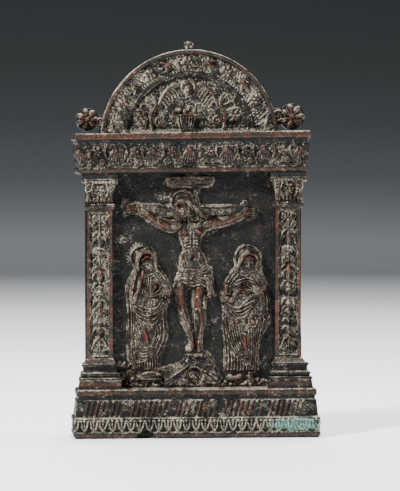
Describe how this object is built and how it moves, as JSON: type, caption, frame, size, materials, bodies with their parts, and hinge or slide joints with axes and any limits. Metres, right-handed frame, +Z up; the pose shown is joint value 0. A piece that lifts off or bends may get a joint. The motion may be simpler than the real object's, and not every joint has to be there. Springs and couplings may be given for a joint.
{
  "type": "liturgical pax",
  "caption": "Small cast bronze altar plaque in an architectural frame with a half-round crest, its panel a relief of the Crucifixion; it stands on a moulded plinth.",
  "frame": {"origin": "centre of the bounding box, at the underside of the plinth", "axes": "+Z up, front towards -Y, +X to the viewer's right"},
  "size_m": [0.0997, 0.0218, 0.1583],
  "materials": {
    "patinated_bronze": "aged dark brown patina, worn to red bronze on the high spots, pale dirt in the recesses"
  },
  "bodies": {
    "root": {"pax_casting": "patinated_bronze"}
  },
  "joints": []
}
